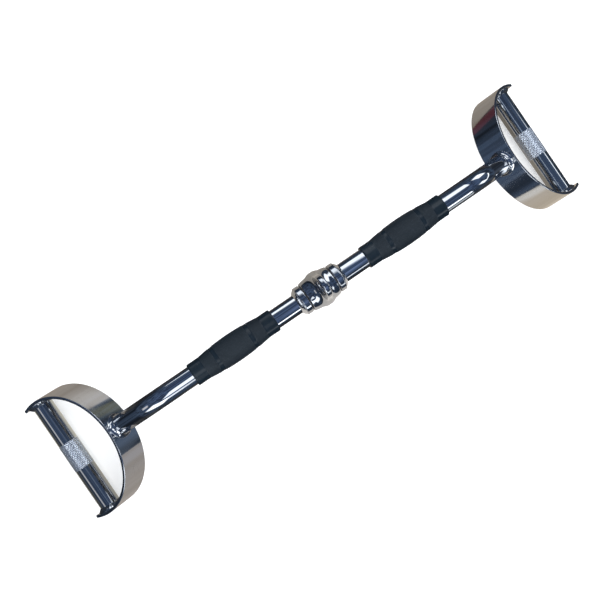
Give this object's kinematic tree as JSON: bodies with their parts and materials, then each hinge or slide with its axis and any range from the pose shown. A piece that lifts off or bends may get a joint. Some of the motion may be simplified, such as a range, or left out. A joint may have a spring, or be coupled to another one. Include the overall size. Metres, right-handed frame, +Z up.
{
  "type": "cable row handle",
  "caption": "Wide bent pull bar with a revolving hanger eye in its middle, rubber grips, and a welded D-shaped stirrup with a knurled hand bar at each end.",
  "frame": {"origin": "middle of the hole in the hanger's eye", "axes": "+X along the bar and along the eye's hole, +Z up from the bar through the eye; the stirrups slope down away from it"},
  "size_m": [0.7868, 0.1728, 0.1962],
  "materials": {
    "bar_chrome": "polished chrome plate on a round steel bar",
    "band_chrome": "chrome plate on rolled flat steel, slightly satin",
    "hand_bar_chrome": "polished chrome plate, diamond knurling in the middle",
    "weld_chrome": "chrome plate over rippled weld beads",
    "collar_chrome": "turned and chrome plated",
    "hanger_chrome": "chrome plate on a cast steel body",
    "grip_rubber": "moulded rubber, fine pebble with smooth cuffs and rings",
    "bush_bronze": "plain sintered bronze",
    "washer_nylon": "dark nylon"
  },
  "bodies": {
    "bar": {"main_bar": "bar_chrome", "left_band": "band_chrome", "right_band": "band_chrome", "left_hand_bar": "hand_bar_chrome", "right_hand_bar": "hand_bar_chrome", "left_neck_weld": "weld_chrome", "right_neck_weld": "weld_chrome", "left_front_weld": "weld_chrome", "left_rear_weld": "weld_chrome", "right_front_weld": "weld_chrome", "right_rear_weld": "weld_chrome", "left_grip": "grip_rubber", "right_grip": "grip_rubber", "left_collar": "collar_chrome", "right_collar": "collar_chrome", "left_collar_weld": "weld_chrome", "right_collar_weld": "weld_chrome", "left_washer": "washer_nylon", "right_washer": "washer_nylon"},
    "hanger": {"left_bush": "bush_bronze", "right_bush": "bush_bronze", "swivel_hanger": "hanger_chrome"}
  },
  "joints": [
    {"name": "hanger_spin", "type": "hinge", "parent": "bar", "child": "hanger", "pos_m": [0, 0, -0.042], "axis": [1, 0, 0], "continuous": true}
  ]
}
